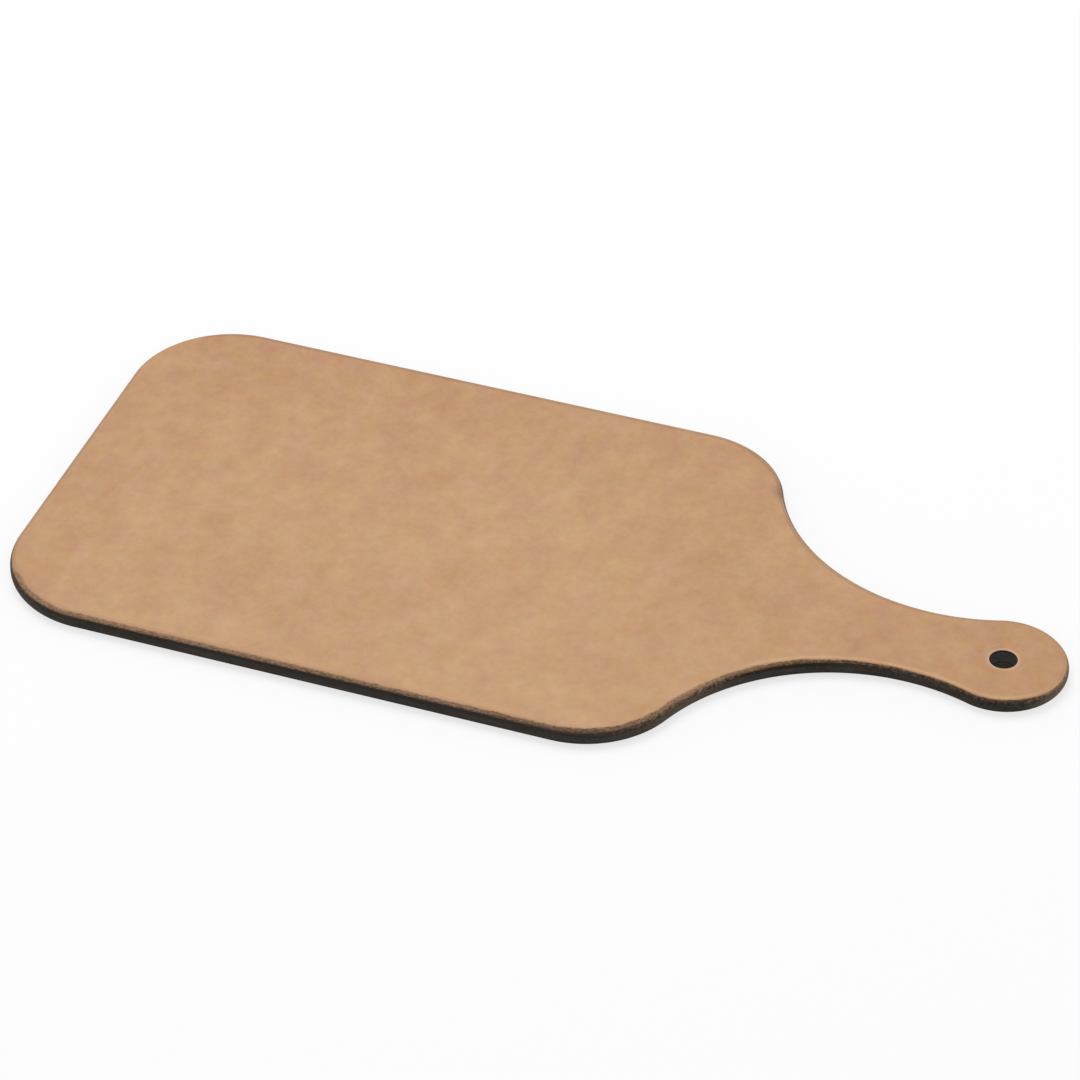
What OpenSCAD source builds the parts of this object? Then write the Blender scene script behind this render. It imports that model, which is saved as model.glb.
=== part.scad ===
// Bread board: one dark core pressed between two thin tan face sheets.
// A round-cornered blade runs through a waisted neck into a round handle end with a hanging hole.
// The origin is on the underside, at the middle of the overall length and width.
// +X points along the handle, +Y across the blade and +Z up through the thickness.

/* [Panel] */
// Overall length, from the rear edge to the tip of the handle
board_l = 399; // [385:1:425]
// Width of the blade
board_w = 190; // [170:1:210]
// Overall thickness of the pressed panel
board_t = 6.4; // [5.8:0.1:10]
// Thickness of each face sheet
face_t = 0.8; // [0.5:0.1:1.2]
// Radius of the rounding on the upper and lower edges
edge_r = 2.8; // [1.6:0.1:3.1]

/* [Blade] */
// Radius of the two rear corners
corner_r = 40; // [20:1:60]
// Distance from the rear edge to the end of the straight sides
side_l = 230; // [210:1:240]
// Radius of the two shoulders, where the blade turns in to the neck
shoulder_r = 39.5; // [30:0.5:50]

/* [Handle] */
// Radius of the round end of the handle
bulb_r = 24.4; // [20:0.2:30]
// How far the neck draws in from the round end's width, on each side
neck_in = 5.3; // [3:0.1:10]
// Diameter of the hanging hole, which is on the centre of the round end
hole_d = 10.5; // [6:0.5:16]
// Width of the small bevel that eases both rims of the hanging hole
hole_ease = 0.3; // [0.1:0.1:0.4]

/* [Hidden] */

face_tone = [0.76, 0.59, 0.44];
core_tone = [0.19, 0.18, 0.17];

// Counts of straight facets along each curve
corner_steps = 24;
shoulder_steps = 20;
neck_steps = 30;
bulb_steps = 32;
edge_steps = 4;
hole_steps = 96;

// How far a cut runs past the faces it opens
overrun = 1;

// Centres of the arcs on the +Y side
corner_centre = [-board_l / 2 + corner_r, board_w / 2 - corner_r];
shoulder_centre = [-board_l / 2 + side_l, board_w / 2 - shoulder_r];
bulb_centre = [board_l / 2 - bulb_r, 0];

// The neck's hollow curve touches the shoulder's circle and the round end's circle from outside.
// Its radius is the one that leaves the neck's half width at the narrowest, whatever the span.
neck_half = bulb_r - neck_in;
neck_span = bulb_centre.x - shoulder_centre.x;
blade_in = board_w / 2 - neck_half;
level_gap = bulb_r + shoulder_centre.y - shoulder_r;
span_root = sqrt(neck_in * (pow(neck_span, 2) + (blade_in - neck_in) * level_gap));
neck_root = (pow(neck_span, 2) - neck_in * level_gap) / (neck_span * sqrt(blade_in) + span_root);
neck_r = (pow(neck_root, 2) - shoulder_r - neck_half + shoulder_centre.y) / 2;
neck_centre = [shoulder_centre.x + neck_root * sqrt(blade_in), neck_half + neck_r];

// The least upright wall between the two roundings, and the rounding that the thickness leaves room for
wall_least = 0.2;
round_r = min(edge_r, (board_t - wall_least) / 2);

// Angle on the edge rounding at which the face sheets meet the core
seam_angle = asin((round_r - face_t) / round_r);

function heading(from, to) = atan2(to.y - from.y, to.x - from.x);

function arc(centre, r, from, to, steps, first) =
    [for (i = [first:steps]) let (a = from + (to - from) * i / steps) centre + r * [cos(a), sin(a)]];

// The +Y half of the outline, from the rear edge to the tip, drawn in from the true edge by inset
function half_outline(inset) = concat(
    arc(corner_centre, corner_r - inset, 180, 90, corner_steps, 0),
    arc(shoulder_centre, shoulder_r - inset, 90, heading(shoulder_centre, neck_centre), shoulder_steps, 0),
    arc(neck_centre, neck_r + inset, heading(neck_centre, shoulder_centre),
        heading(neck_centre, bulb_centre), neck_steps, 1),
    arc(bulb_centre, bulb_r - inset, heading(bulb_centre, neck_centre), 0, bulb_steps, 1));

// The whole outline at one height: the +Y half out to the tip, and its mirror image back
function ring(inset, z) =
    let (half = half_outline(inset), tip = len(half) - 1)
    concat([for (p = half) [p.x, p.y, z]], [for (i = [tip - 1:-1:0]) [half[i].x, -half[i].y, z]]);

// A point of the rounded edge, as inset and height: 90 is on the flat face and 0 is on the upright wall
function lower_edge(a) = [round_r * (1 - cos(a)), round_r * (1 - sin(a))];
function upper_edge(a) = [round_r * (1 - cos(a)), board_t - round_r * (1 - sin(a))];

bottom_profile = [for (i = [0:edge_steps]) lower_edge(90 - (90 - seam_angle) * i / edge_steps)];
core_profile = concat(
    [for (i = [0:edge_steps]) lower_edge(seam_angle * (1 - i / edge_steps))],
    [for (i = [0:edge_steps]) upper_edge(seam_angle * i / edge_steps)]);
top_profile = [for (i = [0:edge_steps]) upper_edge(seam_angle + (90 - seam_angle) * i / edge_steps)];

// A closed layer of the panel: rings stacked along the profile, with a flat face at each end
module layer(profile) {
    tip = len(half_outline(0)) - 1;
    count = 2 * tip + 1;
    high = (len(profile) - 1) * count;
    walls = [for (k = [0:len(profile) - 2], j = [0:count - 1])
        let (low = k * count, up = low + count, next = (j + 1) % count)
        [low + next, up + next, up + j, low + j]];
    strips = [for (i = [0:tip - 2]) [i, i + 1, count - 2 - i, count - 1 - i]];
    nose = [tip - 1, tip, tip + 1];
    upper = concat([for (f = strips) [for (v = f) high + v]], [[for (v = nose) high + v]]);
    lower = concat([for (f = strips) [f[3], f[2], f[1], f[0]]], [[nose[2], nose[1], nose[0]]]);
    polyhedron(points = [for (s = profile) each ring(s[0], s[1])], faces = concat(walls, upper, lower));
}

// The hanging hole with its eased rims, cut through every layer alike
module hanging_hole() {
    hole_r = hole_d / 2;
    mouth_r = hole_r + hole_ease + overrun;
    translate([bulb_centre.x, bulb_centre.y, 0])
        rotate_extrude($fn = hole_steps)
            polygon([
                [0, -overrun],
                [mouth_r, -overrun],
                [hole_r, hole_ease],
                [hole_r, board_t - hole_ease],
                [mouth_r, board_t + overrun],
                [0, board_t + overrun]
            ]);
}

module bottom_face() {
    color(face_tone)
        difference() {
            layer(bottom_profile);
            hanging_hole();
        }
}

module core() {
    color(core_tone)
        difference() {
            layer(core_profile);
            hanging_hole();
        }
}

module top_face() {
    color(face_tone)
        difference() {
            layer(top_profile);
            hanging_hole();
        }
}

bottom_face();
core();
top_face();
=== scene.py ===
from math import acos, atan2, cos, pi, radians, sin, sqrt

import bmesh
import bpy
from mathutils import Matrix, Vector


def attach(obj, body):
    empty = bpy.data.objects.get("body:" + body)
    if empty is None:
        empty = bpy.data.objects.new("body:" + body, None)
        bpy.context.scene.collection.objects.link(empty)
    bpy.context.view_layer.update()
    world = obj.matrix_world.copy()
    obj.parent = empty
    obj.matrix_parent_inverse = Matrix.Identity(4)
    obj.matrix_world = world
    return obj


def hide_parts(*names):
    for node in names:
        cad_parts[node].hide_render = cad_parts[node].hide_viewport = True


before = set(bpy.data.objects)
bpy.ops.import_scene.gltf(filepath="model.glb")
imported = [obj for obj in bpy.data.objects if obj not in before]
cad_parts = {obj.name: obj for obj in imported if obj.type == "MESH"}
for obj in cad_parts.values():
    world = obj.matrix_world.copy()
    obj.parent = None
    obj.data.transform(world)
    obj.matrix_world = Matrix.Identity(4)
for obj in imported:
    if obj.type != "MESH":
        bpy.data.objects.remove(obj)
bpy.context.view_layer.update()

mm = 0.001
print("frame loaded:", sorted(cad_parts))

# The board's shape, in the same sizes as the CAD
board = dict(
    length=399 * mm,
    width=190 * mm,
    thickness=6.4 * mm,
    sheet=0.8 * mm,             # each tan face sheet
    edgeRadius=2.8 * mm,        # rounding of the upper and lower edges
    cornerRadius=40 * mm,       # the two rear corners
    sideLength=230 * mm,        # rear edge to the end of the straight sides
    shoulderRadius=39.5 * mm,
    bulbRadius=24.4 * mm,       # round end of the handle
    neckDraw=5.3 * mm,          # how far the neck draws in from the round end, each side
    holeRadius=5.25 * mm,
    holeEase=0.3 * mm,          # eased rims of the hanging hole
    cornerSteps=48,
    shoulderSteps=36,
    neckSteps=60,
    bulbSteps=64,
    holeSteps=48,               # along half of the hole
    edgeSegments=14,
    easeSegments=3,
    arrisRing=0.15 * mm,        # narrow flat ring that keeps the faces shading flat
    fadeRing=3 * mm,            # wider flat ring, over which edgeRun is measured
    holeMargin=1 * mm,          # a vertex this near the hole belongs to it
    flatNormal=0.9,             # a face is flat where its normal's Z is past this
    flatCorners=100,            # and only the two flat faces have more corners than this
    weld=0.001 * mm,            # vertices nearer than this are one
    sharpAngle=35,
)


def planOutline(size):
    # the arcs of the +Y half, from the tip of the handle back to the rear edge
    neckHalf = size["bulbRadius"] - size["neckDraw"]
    halfLength = size["length"] / 2
    halfWidth = size["width"] / 2
    shoulder = Vector((size["sideLength"] - halfLength, halfWidth - size["shoulderRadius"], 0))
    bulb = Vector((halfLength - size["bulbRadius"], 0, 0))
    corner = Vector((size["cornerRadius"] - halfLength, halfWidth - size["cornerRadius"], 0))
    span = bulb.x - shoulder.x
    bladeIn = halfWidth - neckHalf
    levelGap = size["bulbRadius"] + shoulder.y - size["shoulderRadius"]
    spanRoot = sqrt(size["neckDraw"] * (span ** 2 + (bladeIn - size["neckDraw"]) * levelGap))
    neckRoot = (span ** 2 - size["neckDraw"] * levelGap) / (span * sqrt(bladeIn) + spanRoot)
    neckRadius = (neckRoot ** 2 - size["shoulderRadius"] - neckHalf + shoulder.y) / 2
    neck = Vector((shoulder.x + neckRoot * sqrt(bladeIn), neckHalf + neckRadius, 0))
    return dict(shoulder=shoulder, bulb=bulb, corner=corner, neck=neck)


def heading(start, end):
    return atan2(end.y - start.y, end.x - start.x)


def sweepVert(bm, vert, centre, turn, steps):
    # draws an arc from vert round centre, and returns its last vertex
    made = bmesh.ops.spin(
        bm, geom=[vert], cent=centre, axis=(0, 0, 1), angle=turn, steps=steps, use_merge=False,
    )
    return next(item for item in made["geom_last"] if isinstance(item, bmesh.types.BMVert))


def pullVert(bm, vert, place):
    made = bmesh.ops.extrude_vert_indiv(bm, verts=[vert])
    made["verts"][0].co = place
    return made["verts"][0]


def halfPlan(bm, size, arcs):
    # one flat face: the +Y half of the board, with half of the hole left open
    tip = bm.verts.new((size["length"] / 2, 0, 0))
    turnBulb = heading(arcs["bulb"], arcs["neck"])
    turnNeck = heading(arcs["neck"], arcs["shoulder"]) - heading(arcs["neck"], arcs["bulb"])
    turnShoulder = pi / 2 - heading(arcs["shoulder"], arcs["neck"])
    last = sweepVert(bm, tip, arcs["bulb"], turnBulb, size["bulbSteps"])
    last = sweepVert(bm, last, arcs["neck"], turnNeck, size["neckSteps"])
    last = sweepVert(bm, last, arcs["shoulder"], turnShoulder, size["shoulderSteps"])
    last = pullVert(bm, last, (arcs["corner"].x, size["width"] / 2, 0))
    last = sweepVert(bm, last, arcs["corner"], pi / 2, size["cornerSteps"])
    last = pullVert(bm, last, (-size["length"] / 2, 0, 0))
    last = pullVert(bm, last, (arcs["bulb"].x - size["holeRadius"], 0, 0))
    last = sweepVert(bm, last, arcs["bulb"], -pi, size["holeSteps"])
    bm.edges.new((last, tip))
    bmesh.ops.contextual_create(bm, geom=bm.edges[:])


def beside(arcs, vert, reach):
    # true for a vertex of the hanging hole or of the rings round it
    return (vert.co.xy - arcs["bulb"].xy).length < reach


def rimEdges(bm, size, arcs, hole):
    # the upper and lower edges between flat face and wall, of the outline or of the hole
    holeReach = size["holeRadius"] + size["holeMargin"]
    found = []
    for edge in bm.edges:
        first, second = edge.verts
        flats = [face for face in edge.link_faces if abs(face.normal.z) > size["flatNormal"]]
        if len(flats) != 1 or abs(first.co.z - second.co.z) > size["weld"]:
            continue
        if beside(arcs, first, holeReach) == hole:
            found.append(edge)
    return found


def bevelEdges(bm, edges, offset, segments):
    bmesh.ops.bevel(
        bm, geom=edges, offset=offset, offset_type="OFFSET", segments=segments,
        profile=0.5, affect="EDGES", material=-1, clamp_overlap=False,
    )


def boardSolid(size, arcs):
    bm = bmesh.new()
    halfPlan(bm, size, arcs)
    lifted = bmesh.ops.extrude_face_region(bm, geom=bm.faces[:])
    top = [item for item in lifted["geom"] if isinstance(item, bmesh.types.BMVert)]
    bmesh.ops.translate(bm, verts=top, vec=(0, 0, size["thickness"]))
    weld = size["weld"]
    middle = [face for face in bm.faces if all(abs(vert.co.y) < weld for vert in face.verts)]
    bmesh.ops.delete(bm, geom=middle, context="FACES")
    half = bm.verts[:] + bm.edges[:] + bm.faces[:]
    bmesh.ops.mirror(bm, geom=half, matrix=Matrix(), merge_dist=weld, axis="Y")
    bmesh.ops.remove_doubles(bm, verts=bm.verts[:], dist=weld)
    bmesh.ops.recalc_face_normals(bm, faces=bm.faces[:])
    bevelEdges(bm, rimEdges(bm, size, arcs, False), size["edgeRadius"], size["edgeSegments"])
    bevelEdges(bm, rimEdges(bm, size, arcs, True), size["holeEase"], size["easeSegments"])
    return bm


def addRings(bm, size, arcs):
    # two flat rings inside each arris, and edgeRun: the way over the surface from the arris downwards
    run = bm.verts.layers.float.new("edgeRun")
    holeReach = size["holeRadius"] + size["holeEase"] + size["fadeRing"] + size["holeMargin"]
    radius = size["edgeRadius"]
    for vert in bm.verts:
        depth = min(vert.co.z, size["thickness"] - vert.co.z)
        vert[run] = radius * acos(1 - min(depth, radius) / radius) + max(depth - radius, 0)
    flats = [face for face in bm.faces if len(face.verts) > size["flatCorners"]]
    inside = 0
    for ring in (size["arrisRing"], size["fadeRing"]):
        bmesh.ops.inset_region(
            bm, faces=flats, thickness=ring - inside, use_boundary=True, use_even_offset=True,
        )
        inside = ring
        for face in flats:
            for vert in face.verts:
                vert[run] = -ring
    for vert in bm.verts:
        if beside(arcs, vert, holeReach):
            vert[run] = -size["fadeRing"]


def shadeMesh(bm, size):
    sharp = radians(size["sharpAngle"])
    for face in bm.faces:
        face.smooth = True
    for edge in bm.edges:
        edge.smooth = edge.calc_face_angle(0) < sharp


def cutLayer(solid, name, low, high, size):
    # the slice of the solid between two heights, with its cuts closed
    bm = solid.copy()
    for height, keepAbove in ((low, True), (high, False)):
        if height <= 0 or height >= size["thickness"]:
            continue
        cut = bmesh.ops.bisect_plane(
            bm, geom=bm.verts[:] + bm.edges[:] + bm.faces[:], dist=size["weld"] / 10,
            plane_co=(0, 0, height), plane_no=(0, 0, 1), clear_inner=keepAbove, clear_outer=not keepAbove,
        )
        loop = [item for item in cut["geom_cut"] if isinstance(item, bmesh.types.BMEdge)]
        bmesh.ops.triangle_fill(bm, use_beauty=True, use_dissolve=False, edges=loop)
    bmesh.ops.recalc_face_normals(bm, faces=bm.faces[:])
    shadeMesh(bm, size)
    mesh = bpy.data.meshes.new(name)
    bm.to_mesh(mesh)
    bm.free()
    return mesh


def addPiece(name, mesh, node, finish):
    piece = bpy.data.objects.new(name, mesh)
    bpy.context.scene.collection.objects.link(piece)
    mesh.materials.append(finish)
    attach(piece, "root")
    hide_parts(node)


class Wire:
    # one output of a node; sums, differences and products of wires add Math nodes
    def __init__(self, tree, socket=None):
        self.tree = tree
        self.socket = socket

    def node(self, kind, settings=None, inputs=None, out=0):
        made = self.tree.nodes.new(kind)
        for name, value in (settings or {}).items():
            if name == "stops":
                self.fillRamp(made.color_ramp, value)
            else:
                setattr(made, name, value)
        for name, value in (inputs or {}).items():
            if isinstance(value, Wire):
                self.tree.links.new(value.socket, made.inputs[name])
            else:
                made.inputs[name].default_value = value
        return Wire(self.tree, made.outputs[out] if made.outputs else None)

    def fillRamp(self, ramp, stops):
        # the first stop is at 0 and the last at 1
        for place, tone in stops[1:-1]:
            ramp.elements.new(place).color = tone
        ramp.elements[0].color = stops[0][1]
        ramp.elements[-1].color = stops[-1][1]

    def maths(self, operation, *terms):
        return self.node("ShaderNodeMath", {"operation": operation}, dict(enumerate(terms)))

    def __add__(self, other):
        return self.maths("ADD", self, other)

    def __radd__(self, other):
        return self.maths("ADD", other, self)

    def __sub__(self, other):
        return self.maths("SUBTRACT", self, other)

    def __rsub__(self, other):
        return self.maths("SUBTRACT", other, self)

    def __mul__(self, other):
        return self.maths("MULTIPLY", self, other)

    def __rmul__(self, other):
        return self.maths("MULTIPLY", other, self)

    def noise(self, size, detail=2.0, roughness=0.5, shift=None):
        # cloudy values about 0, with features of that size, on this wire's coordinates
        place = self.shifted(shift) if shift else self
        inputs = {"Vector": place, "Scale": 1 / size, "Detail": detail, "Roughness": roughness}
        return self.node("ShaderNodeTexNoise", {"noise_dimensions": "3D"}, inputs) - 0.5

    def fade(self, start, end):
        # 0 before start and 1 past end, smooth between them
        inputs = {"Value": self, "From Min": start, "From Max": end}
        return self.node("ShaderNodeMapRange", {"interpolation_type": "SMOOTHSTEP"}, inputs)

    def band(self, start, full, fall, end):
        return self.fade(start, full) * (1 - self.fade(fall, end))

    def blend(self, first, second):
        # first colour where this wire is 0, second where it is 1
        inputs = {0: self, 6: first, 7: second}
        return self.node("ShaderNodeMix", {"data_type": "RGBA", "clamp_factor": True}, inputs, 2)

    def spread(self, direction):
        # this number along a colour or a vector
        return self.node("ShaderNodeVectorMath", {"operation": "SCALE"}, {0: direction, "Scale": self})

    def shifted(self, offset):
        return self.node("ShaderNodeVectorMath", {"operation": "ADD"}, {0: self, 1: offset})

    def stretched(self, factors):
        return self.node("ShaderNodeVectorMath", {"operation": "MULTIPLY"}, {0: self, 1: factors})

    def distance(self, point):
        return self.node("ShaderNodeVectorMath", {"operation": "DISTANCE"}, {0: self, 1: point}, "Value")

    def axis(self, name):
        return self.node("ShaderNodeSeparateXYZ", None, {0: self}, "XYZ".index(name))


def newFinish(name):
    material = bpy.data.materials.new(name)
    material.use_nodes = True
    material.node_tree.nodes.clear()
    return material, Wire(material.node_tree)


def closeFinish(wire, tone, roughness, height, look):
    # the shader that every finish ends in: colour, roughness and a fine relief
    relief = {"Strength": 1.0, "Distance": look["bump"], "Height": height}
    bump = wire.node("ShaderNodeBump", None, relief)
    inputs = {
        "Base Color": tone, "Roughness": roughness, "Normal": bump,
        "IOR": 1.5, "Specular IOR Level": look["sheen"],
    }
    surface = wire.node("ShaderNodeBsdfPrincipled", None, inputs)
    wire.node("ShaderNodeOutputMaterial", None, {"Surface": surface})


def colour(red, green, blue):
    return (red, green, blue, 1.0)


def fromHole(place, arcs):
    # distance from the axis of the hanging hole
    return place.stretched((1, 1, 0)).distance(arcs["bulb"][:])


# How the routed edge looks on its way round the board. A row has X in mm, where the brown begins
# (way over the edge from the arris, mm), how light the brown is, and how brown the core is
routedEdge = dict(
    near=[
        (-200, -0.8, 0.72, 0.34),
        (-190, -0.8, 0.66, 0.12),
        (-165, -0.5, 0.56, 0.04),
        (-60, -0.35, 0.48, 0.0),
        (20, -0.4, 0.38, 0.02),
        (42, -1.0, 0.18, 0.02),
        (60, -0.8, 0.36, 0.12),
        (72, -0.3, 0.73, 0.41),
        (86, -0.35, 0.42, 0.10),
        (100, -0.25, 0.24, 0.0),
        (125, 0.72, 0.24, 0.04),
        (145, 1.25, 0.34, 0.08),
        (188, 1.15, 0.16, 0.10),
        (196, 2.0, 0.44, 0.58),
        (200, 2.5, 0.60, 1.0),
    ],
    far=[
        (-200, 2.3, 0.80, 0.30),
        (-194, 1.6, 0.62, 0.15),
        (-185, 1.1, 0.50, 0.08),
        (54, 1.0, 0.48, 0.08),
        (63, 1.9, 0.42, 0.60),
        (72, 2.1, 0.42, 0.60),
        (84, 1.3, 0.52, 0.30),
        (105, 1.2, 0.52, 0.08),
        (130, 1.2, 0.50, 0.04),
        (175, 1.8, 0.62, 0.10),
        (190, 2.3, 0.72, 0.60),
        (200, 3.0, 0.85, 1.0),
    ],
    rear=(2.3, 0.80, 0.30),         # the same along the straight rear edge, without its X
    reach=200,                      # the rows run from -reach to reach, mm
    leastStart=-2,                  # the least start that a row can hold, and the range above it, mm
    startSpan=5,
    middle=(-9 * mm, 5 * mm),       # Y over which the near side's rows give way to the far side's
    rearCorner=(-108 * mm, -125 * mm),    # X less Y over which the rear edge takes over
    rearEnd=(-176 * mm, -188 * mm),       # and X
)


def edgeStop(look, start, light, core):
    # one row as a colour, so that a ramp can blend the rows
    return colour((start - look["leastStart"]) / look["startSpan"], light, core)


def edgeState(wire, place, look):
    # near side or not, start of the brown in metres, lightness of the brown, brownness of the core
    reach = look["reach"]
    way = (place.axis("X") + reach * mm) * (1 / (2 * reach * mm))
    sides = []
    for rows in (look["near"], look["far"]):
        stops = [((row[0] + reach) / (2 * reach), edgeStop(look, *row[1:])) for row in rows]
        sides.append(wire.node("ShaderNodeValToRGB", {"stops": stops}, {"Fac": way}))
    diagonal = place.axis("X") - place.axis("Y")
    rear = diagonal.fade(*look["rearCorner"]) * place.axis("X").fade(*look["rearEnd"])
    near = (1 - place.axis("Y").fade(*look["middle"])) * (1 - rear)
    state = rear.blend(near.blend(sides[1], sides[0]), edgeStop(look, *look["rear"]))
    start = state.axis("X") + look["leastStart"] / look["startSpan"]
    return near, start * (look["startSpan"] * mm), state.axis("Y"), state.axis("Z")


# Where the finishes change along the board, in X
stretches = dict(
    rear=(-120 * mm, -200 * mm),    # the rear end's painted shade
    rubbedRim=(70 * mm, 0),         # the blade's rubbed rim, from none at the neck to full
    handle=(60 * mm, 180 * mm),     # the handle's painted shade
    neck=(78 * mm, 95 * mm),        # from the blade's edge to the neck's
    grip=(95 * mm, 140 * mm),       # from the neck's edge to the round end's
    tip=(196 * mm, 180 * mm),       # the tip, where the dark line along the far arris ends
)

# The tan face sheets, with the brown layers that their routed edges cut through. Each noise has its
# feature size, detail, roughness and place, and its strength is named beside it
tanSheet = dict(
    tan=(0.555, 0.327, 0.1745),
    cloudAndShadeHue=(0.55, 0.9, 1.0),     # how the clouds, the painted shade and the painted highlight shift red, green and blue and how the pink patches and the yellow ones do
    pinkHue=(0.5, -0.3, 0.0),       # and how the pink patches and the yellow ones do
    yellowHue=(0.0, 0.1, -1.0),
    brown=colour(0.074, 0.048, 0.034),
    brownGrip=colour(0.078, 0.041, 0.021),    # the same on the handle
    brownLight=colour(0.43, 0.250, 0.140),
    rubbed=colour(0.48, 0.26, 0.156),
    scuff=colour(0.30, 0.225, 0.165),
    stain=colour(0.15, 0.10, 0.07),
    # the worn bare patch beside the hole, and the painted highlight of the ring round the hole
    bareAndHighlight=colour(0.70, 0.48, 0.32),
    bore=colour(0.018, 0.017, 0.016),         # painted shade: the hanging hole's wall is near black, above and below; the far line darkens towards it too
    boreUnder=colour(0.029, 0.028, 0.026),
    weave=(1.0, 0.88, 1.0),         # the clouds are a little longer across the board
    underShift=(0.31, 0.17, 0.05),  # gives the underside other clouds
    cloud=(12 * mm, 3.0, 0.75),
    cloudStrength=0.64,
    broad=(80 * mm, 1.0, 0.6, (0.7, 0.2, 0.4)),
    broadStrength=0.14,
    pink=(10 * mm, 3.0, 0.7, (0.5, 0.4, 0.8)),
    pinkStrength=0.235,
    yellow=(7 * mm, 3.0, 0.7, (0.2, 0.6, 0.3)),
    yellowStrength=0.42,
    grain=(0.9 * mm, 2.0, 0.6, (0.1, 0.9, 0.6)),
    grainStrength=0.10,
    handleShade=0.15,               # painted shade: the handle, the rear end and the far side are a little darker and browner
    rearShade=0.055,
    farShade=0.155,
    farSide=(10 * mm, 120 * mm),    # in Y
    farLine=(-1.9 * mm, -1.3 * mm),     # the thin darker line along the far and rear arris
    farLineShade=0.17,
    rim=(-2.0 * mm, -0.8 * mm, -0.35 * mm, 0.1 * mm),    # painted highlight: the lighter rim beside the handle's brown, on the near side
    rimHighlight=0.18,
    rimGrip=0.3,                    # how much more of it on the round end
    rub=(-1.6 * mm, -0.3 * mm),     # the rubbed rim beside the blade's brown
    rubStrength=0.45,
    brownFade=(1.35 * mm, 0.55 * mm),    # width of the change to brown, on the blade and on the handle
    streak=2.4,                     # how much finer the edge's streaks are across it than along it
    ragged=(1.4 * mm, 3.0, 0.6),    # the brown's uneven start, in small steps and in long waves
    raggedReach=1.7 * mm,
    waves=(6 * mm, 1.0),
    wavesReach=1.2 * mm,
    gripCalm=0.6,                   # the start is evener on the round end
    specks=(1.3 * mm, 3.0, 0.65, (0.3, 0.3, 0.3)),
    speckDepth=1.9,                 # light and dark specks within the brown
    vein=(0.4 * mm, 0.7 * mm, 0.9 * mm, 1.3 * mm),       # a broken dark line within the brown
    veinWander=0.5,                 # how far it follows the uneven start
    veinBreaks=(2.5 * mm,),
    veinGap=(-0.1, 0.1),
    veinDark=0.8,
    veinLight=0.75,                 # a brown this light has no vein
    dusk=(1.3 * mm, 2.1 * mm),      # the brown darkens towards the core
    duskWander=0.2,
    duskDark=0.5,
    duskNeck=0.2,                   # and less so on the neck and the round end
    duskGrip=0.12,
    smudge=(68.6 * mm, 68.8 * mm, 5.6 * mm),  # the dark smudge at the far shoulder
    smudgeReach=(8.5 * mm, 0.5 * mm),
    smudgeDark=0.5,
    ring=(-0.1 * mm, 0.35 * mm, 1.3 * mm),    # painted highlight: the light ring round the hole, from the outer rim of the hole's ease
    ringHighlight=0.42,
    boreLip=0.08 * mm,              # how far outside its wall the bore's painted shade starts
    patch=(168.9 * mm, 5.6 * mm, 0),          # the rubbed patch beside the hole
    patchReach=(5.5 * mm, 1.5 * mm),
    worn=(3.6 * mm, 2.0, 0.6),
    wornDark=(0.0, 0.16),           # where the patch is dark, and where it is light
    wornLight=(-0.02, -0.18),
    patchDark=0.30,
    patchLight=0.25,
    roughness=0.5,
    roughClouds=0.2,
    roughEdge=0.2,
    sheen=0.12,
    bump=0.012 * mm,
    grainRelief=0.6,
    speckRelief=1.5,
)


def holeMarks(place, upper, arcs, skin, look):
    # the painted highlight ring round the hanging hole, the rubbed patch beside it, and the hole's wall
    # darkened as painted shade
    away = fromHole(place, arcs)
    flat = place.stretched((1, 1, 0))
    radius = board["holeRadius"]
    full, fall, end = (radius + board["holeEase"] + way for way in look["ring"])
    # painted highlight: the light ring round the hole's rim
    ring = away.band(radius, full, fall, end)
    skin = (ring * look["ringHighlight"]).blend(skin, look["bareAndHighlight"])
    patch = flat.distance(look["patch"]).fade(*look["patchReach"])
    worn = flat.noise(*look["worn"])
    skin = (patch * worn.fade(*look["wornDark"]) * look["patchDark"]).blend(skin, look["scuff"])
    skin = (patch * worn.fade(*look["wornLight"]) * look["patchLight"]).blend(skin, look["bareAndHighlight"])
    # painted shade: the hole's wall is near black
    bore = away.fade(radius + look["boreLip"], radius)
    return bore.blend(skin, look["bore" if upper else "boreUnder"])


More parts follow.
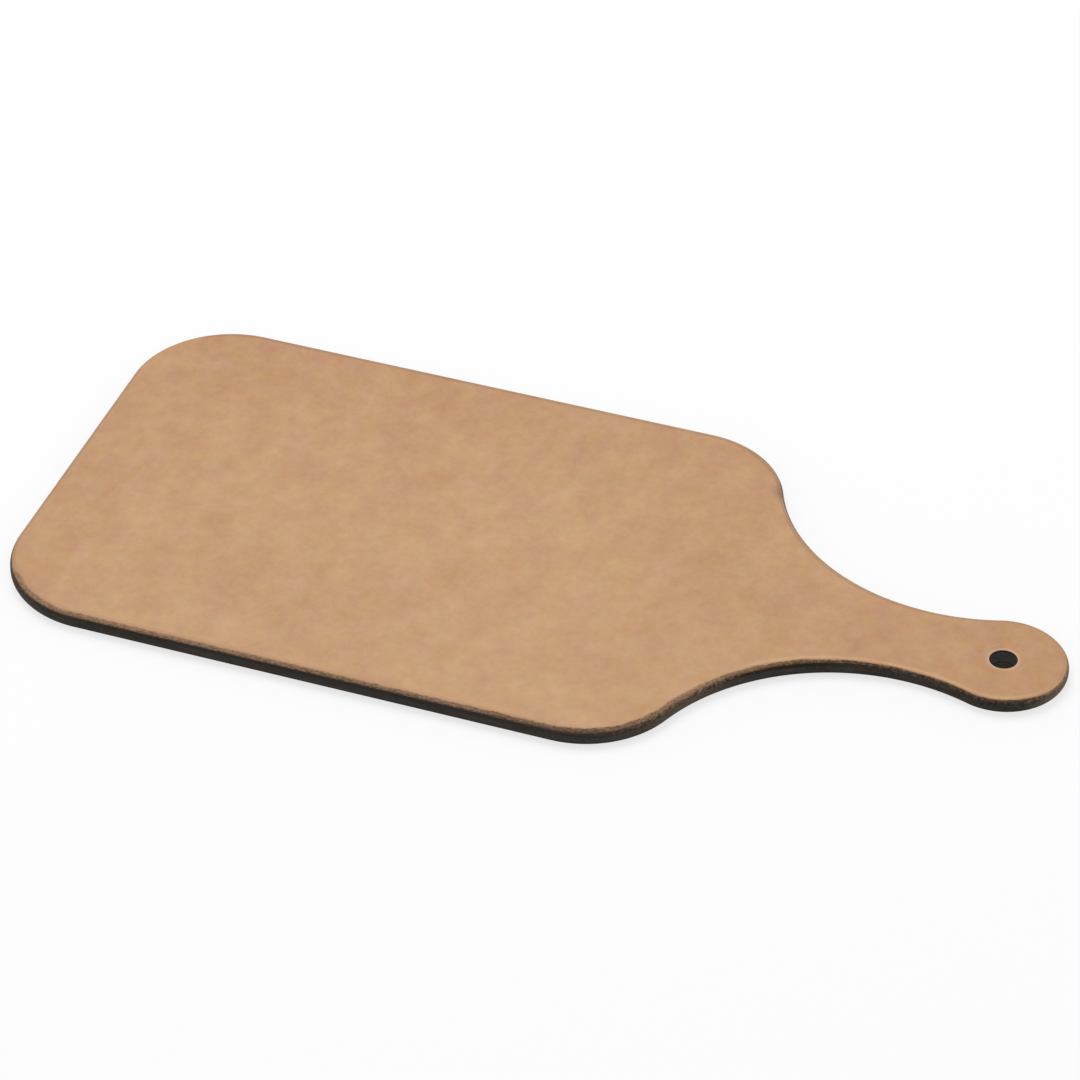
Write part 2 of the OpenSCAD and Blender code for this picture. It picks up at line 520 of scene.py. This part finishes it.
def tanFinish(name, upper, arcs, look):
    material, wire = newFinish(name)
    place = wire.node("ShaderNodeTexCoord", None, None, "Object")
    spot = (place if upper else place.shifted(look["underShift"])).stretched(look["weave"])
    run = wire.node("ShaderNodeAttribute", {"attribute_name": "edgeRun"}, None, "Fac")
    near, start, lightness = edgeState(wire, place, routedEdge)[:3]
    beyond = run - start
    along = place.axis("X")
    handle = along.fade(*stretches["handle"])
    neck = along.fade(*stretches["neck"])
    grip = along.fade(*stretches["grip"])

    cloud = spot.noise(*look["cloud"])
    broad = spot.noise(*look["broad"])
    pink = spot.noise(*look["pink"])
    yellow = spot.noise(*look["yellow"])
    grain = spot.noise(*look["grain"])
    mood = cloud * look["cloudStrength"] + broad * look["broadStrength"] + grain * look["grainStrength"]
    # painted shade: darker and browner towards the handle, the rear end and the far side
    mood = mood - handle * look["handleShade"] - along.fade(*stretches["rear"]) * look["rearShade"]
    mood = mood - place.axis("Y").fade(*look["farSide"]) * look["farShade"]
    # painted highlight on the near rim of the neck and the round end
    rim = beyond.band(*look["rim"]) * near
    mood = mood + rim * (neck + grip * look["rimGrip"]) * look["rimHighlight"]
    pinker = (pink * look["pinkStrength"]).spread(look["pinkHue"])
    yellower = (yellow * look["yellowStrength"]).spread(look["yellowHue"])
    shade = mood.spread(look["cloudAndShadeHue"]).shifted(pinker).shifted(yellower)
    skin = shade.shifted((1, 1, 1)).stretched(look["tan"])

    rub = beyond.fade(*look["rub"]) * near * along.fade(*stretches["rubbedRim"])
    skin = (rub * look["rubStrength"]).blend(skin, look["rubbed"])
    farLine = beyond.fade(*look["farLine"]) * (1 - near) * along.fade(*stretches["tip"])
    skin = (farLine * look["farLineShade"]).blend(skin, look["bore"])
    if upper:
        smudge = place.distance(look["smudge"]).fade(*look["smudgeReach"])
        skin = (smudge * look["smudgeDark"]).blend(skin, look["stain"])
    skin = holeMarks(place, upper, arcs, skin, look)

    streaked = spot.stretched((1, 1, 0)).shifted((run * look["streak"]).spread((0, 0, 1)))
    wander = streaked.noise(*look["ragged"]) * look["raggedReach"]
    wander = wander + spot.noise(*look["waves"]) * look["wavesReach"]
    wander = wander * (1 - grip * look["gripCalm"])
    wide, narrow = look["brownFade"]
    edge = (beyond + wander).fade(0.0, wide - grip * (wide - narrow))
    specks = streaked.noise(*look["specks"])
    vein = (beyond + wander * look["veinWander"]).band(*look["vein"])
    vein = vein * spot.noise(*look["veinBreaks"]).fade(*look["veinGap"])
    vein = vein * (look["veinLight"] - lightness)
    dusk = (run + wander * look["duskWander"]).fade(*look["dusk"]) * (1 - lightness)
    dusk = dusk * (look["duskDark"] - neck * look["duskNeck"] - grip * look["duskGrip"])
    level = lightness + specks * (look["speckDepth"] + grip) - vein * look["veinDark"] - dusk
    dark = neck.blend(look["brown"], look["brownGrip"])
    skin = edge.blend(skin, level.blend(dark, look["brownLight"]))

    relief = grain * look["grainRelief"] + edge * specks * look["speckRelief"]
    rough = look["roughness"] + cloud * look["roughClouds"] + edge * look["roughEdge"]
    closeFinish(wire, skin, rough, relief, look)
    return material


# The dark core, pressed from many thin layers. The noises are given as they are for the face sheets
slateCore = dict(
    slate=(0.0442, 0.0385, 0.0334),
    # near black of the seam line, and of the painted shade on the lower rounding
    deep=colour(0.014, 0.009, 0.006),
    olive=colour(0.167, 0.122, 0.086),
    brown=colour(0.377, 0.230, 0.140),
    # painted light: the core's wall in the hanging hole, a plainer copy of the slate, lighter than the
    # slate outside and set for the shade in the hole
    bore=(0.074, 0.072, 0.067),
    boreFade=2 * mm,                # from the outer rim of the hole's ease
    strata=(9 * mm, 3.0, 0.6),      # the thin layers
    strataShape=(0.5, 0.5, 9),
    strataStrength=1.3,
    grit=(1.3 * mm, 3.0, 0.6),
    gritShape=(1, 1, 1.6),
    gritStrength=1.2,
    patch=(7 * mm, 2.0, 0.5),
    patchStrength=0.6,
    gripShade=0.26,                 # the round end is a little darker
    oliveShare=1.15,                # how far the worn core turns olive, and how unevenly
    oliveUneven=2,
    seam=(0.7 * mm, 0.9 * mm, 1.5 * mm, 2.2 * mm),       # the dark line below the upper sheet
    seamDark=0.42,
    seamGrit=0.8,
    seamNeck=0.28,
    neck=(70 * mm, 85 * mm, 105 * mm, 125 * mm),         # X where the line is darker
    paleSeam=(115 * mm, 130 * mm, 150 * mm, 170 * mm),   # and where it is nearly gone
    paleShare=0.8,
    lower=(2.6 * mm, 1.1 * mm),     # painted shade: the lower rounding is darkened where it faces down to the floor
    paintedUnderShade=0.9,
    upper=(2.3 * mm, 0.9 * mm),     # the worn upper rounding
    wornBrown=0.8,
    speckBrown=2.6,
    speckStart=(0.0, 0.2),
    roughness=0.6,
    roughGrit=0.1,
    sheen=0.06,
    bump=0.03 * mm,
    gritRelief=0.6,
    strataRelief=0.8,
)


def coreFinish(name, arcs, look):
    material, wire = newFinish(name)
    place = wire.node("ShaderNodeTexCoord", None, None, "Object")
    along = place.axis("X")
    height = place.axis("Z")
    depth = board["thickness"] - height
    rim = board["holeRadius"] + board["holeEase"]
    outside = fromHole(place, arcs).fade(rim, rim + look["boreFade"])
    worn = edgeState(wire, place, routedEdge)[3] * outside
    strata = place.stretched(look["strataShape"]).noise(*look["strata"])
    grit = place.stretched(look["gritShape"]).noise(*look["grit"])
    patch = place.noise(*look["patch"])

    light = 1 + strata * look["strataStrength"] + grit * look["gritStrength"]
    light = light + patch * look["patchStrength"] - along.fade(*stretches["grip"]) * look["gripShade"]
    body = light.spread(look["slate"])
    uneven = grit * look["oliveUneven"] + patch * look["oliveUneven"]
    body = (worn * (look["oliveShare"] + uneven)).blend(body, look["olive"])

    darker = look["seamDark"] + along.band(*look["neck"]) * look["seamNeck"] + grit * look["seamGrit"]
    seam = depth.band(*look["seam"]) * darker
    seam = seam * (1 - along.band(*look["paleSeam"]) * look["paleShare"])
    # painted shade on the lower rounding, which joins the seam line in darkening towards deep
    lower = height.fade(*look["lower"]) * look["paintedUnderShade"]
    body = seam.maths("MAXIMUM", seam, lower).blend(body, look["deep"])

    specks = worn * look["wornBrown"] + grit * look["speckBrown"] * worn.fade(*look["speckStart"])
    body = (specks * depth.fade(*look["upper"])).blend(body, look["brown"])
    # painted light: the core's wall in the hole is a plainer and lighter copy of the slate
    body = outside.blend((1 + grit).spread(look["bore"]), body)
    relief = grit * look["gritRelief"] + strata * look["strataRelief"]
    rough = look["roughness"] + grit * look["roughGrit"]
    closeFinish(wire, body, rough, relief, look)
    return material


arcs = planOutline(board)
solid = boardSolid(board, arcs)
addRings(solid, board, arcs)
print("board solid:", len(solid.verts), "vertices,", len(solid.faces), "faces")

tanTop = tanFinish("tanFaceUpper", True, arcs, tanSheet)
tanUnder = tanFinish("tanFaceLower", False, arcs, tanSheet)
slate = coreFinish("slateCore", arcs, slateCore)
print("finishes ready")

lowSeam = board["sheet"]
highSeam = board["thickness"] - board["sheet"]
layers = [
    ("topSheet", highSeam, board["thickness"], "top_face", "tan_face", tanTop),
    ("corePanel", lowSeam, highSeam, "core", "slate_core", slate),
    ("bottomSheet", 0, lowSeam, "bottom_face", "tan_face", tanUnder),
]
for name, low, high, node, slot, finish in layers:
    mesh = cutLayer(solid, name, low, high, board)
    addPiece(name, mesh, node, finish)
    print("piece:", name, len(mesh.polygons), "faces")
solid.free()

# Floor, lights and camera
studio = dict(
    floorSize=30.0,
    floorColour=colour(0.97, 0.97, 0.97),
    floorDrop=0.1 * mm,           # just below the underside, so that the two don't meet in one plane
    paintedHoleShadow=colour(0.0307, 0.0294, 0.0274),    # painted shadow: the floor is near black below the hanging hole, where the board hides it
    holeShadowReach=(13 * mm, 19 * mm),
    floorGlow=0.7,                # share of plain white in the floor as it is seen
    fill=0.62,                    # the world's light on the object
    keyPlace=(-1.0, 1.3, 3.2),    # a large soft lamp above, towards the far rear corner
    keySize=2.6,
    keyPower=60.0,                # W
)
shot = dict(
    aim=(-13.225 * mm, 15.609 * mm, 0),    # what the middle of the frame shows
    azimuth=19.94,                # degrees from -Y towards +X
    elevation=38.555,             # degrees above the floor
    distance=1906.165 * mm,
    lens=165.598,                 # in mm, and the sensor's width too
    sensor=36,
)


def shownRays(wire):
    # 1 for what the camera sees, also mirrored or through something clear
    shown = wire.node("ShaderNodeLightPath", None, None, "Is Camera Ray")
    for kind in ("Is Glossy Ray", "Is Transmission Ray"):
        shown = shown.maths("MAXIMUM", shown, wire.node("ShaderNodeLightPath", None, None, kind))
    return shown


def addWorld(look):
    world = bpy.data.worlds.new("softRoom")
    bpy.context.scene.world = world
    world.use_nodes = True
    world.node_tree.nodes.clear()
    wire = Wire(world.node_tree)
    strength = look["fill"] + shownRays(wire) * (1 - look["fill"])
    glow = wire.node("ShaderNodeBackground", None, {"Color": colour(1, 1, 1), "Strength": strength})
    wire.node("ShaderNodeOutputWorld", None, {"Surface": glow})


def floorFinish(arcs, look):
    material, wire = newFinish("paleFloor")
    place = wire.node("ShaderNodeTexCoord", None, None, "Object")
    # painted shadow: the floor is near black below the hanging hole, both as it is lit and as it glows
    clearing = fromHole(place, arcs).fade(*look["holeShadowReach"])
    tone = clearing.blend(look["paintedHoleShadow"], look["floorColour"])
    shine = clearing.blend(look["paintedHoleShadow"], colour(1, 1, 1))
    matt = wire.node("ShaderNodeBsdfDiffuse", None, {"Color": tone})
    glow = wire.node("ShaderNodeEmission", None, {"Color": shine, "Strength": 1.0})
    white = shownRays(wire) * look["floorGlow"]
    face = wire.node("ShaderNodeMixShader", None, {0: white, 1: matt, 2: glow})
    clear = wire.node("ShaderNodeBsdfTransparent", None, None)
    back = wire.node("ShaderNodeNewGeometry", None, None, "Backfacing")
    side = wire.node("ShaderNodeMixShader", None, {0: back, 1: face, 2: clear})
    wire.node("ShaderNodeOutputMaterial", None, {"Surface": side})
    return material


def addFloor(arcs, look):
    bm = bmesh.new()
    bmesh.ops.create_grid(bm, x_segments=1, y_segments=1, size=look["floorSize"] / 2)
    bmesh.ops.translate(bm, verts=bm.verts[:], vec=(0, 0, -look["floorDrop"]))
    mesh = bpy.data.meshes.new("floor")
    bm.to_mesh(mesh)
    bm.free()
    floor = bpy.data.objects.new("floor", mesh)
    bpy.context.scene.collection.objects.link(floor)
    mesh.materials.append(floorFinish(arcs, look))
    floor.visible_diffuse = False      # the light from below reaches the underside
    floor.visible_shadow = False


def addKey(look):
    data = bpy.data.lights.new("softKey", "AREA")
    data.shape = "DISK"
    data.size = look["keySize"]
    data.energy = look["keyPower"]
    key = bpy.data.objects.new("softKey", data)
    bpy.context.scene.collection.objects.link(key)
    key.location = look["keyPlace"]
    key.rotation_euler = (-Vector(look["keyPlace"])).to_track_quat("-Z", "Y").to_euler()


def addCamera(look):
    data = bpy.data.cameras.new("camera")
    data.lens = look["lens"]
    data.sensor_width = look["sensor"]
    camera = bpy.data.objects.new("camera", data)
    bpy.context.scene.collection.objects.link(camera)
    turn = radians(look["azimuth"])
    rise = radians(look["elevation"])
    back = Vector((sin(turn) * cos(rise), -cos(turn) * cos(rise), sin(rise)))
    camera.location = Vector(look["aim"]) + back * look["distance"]
    camera.rotation_euler = (-back).to_track_quat("-Z", "Y").to_euler()
    bpy.context.scene.camera = camera


addWorld(studio)
addFloor(arcs, studio)
addKey(studio)
addCamera(shot)
bpy.context.scene.view_settings.view_transform = "Standard"
print("floor, light and camera placed")
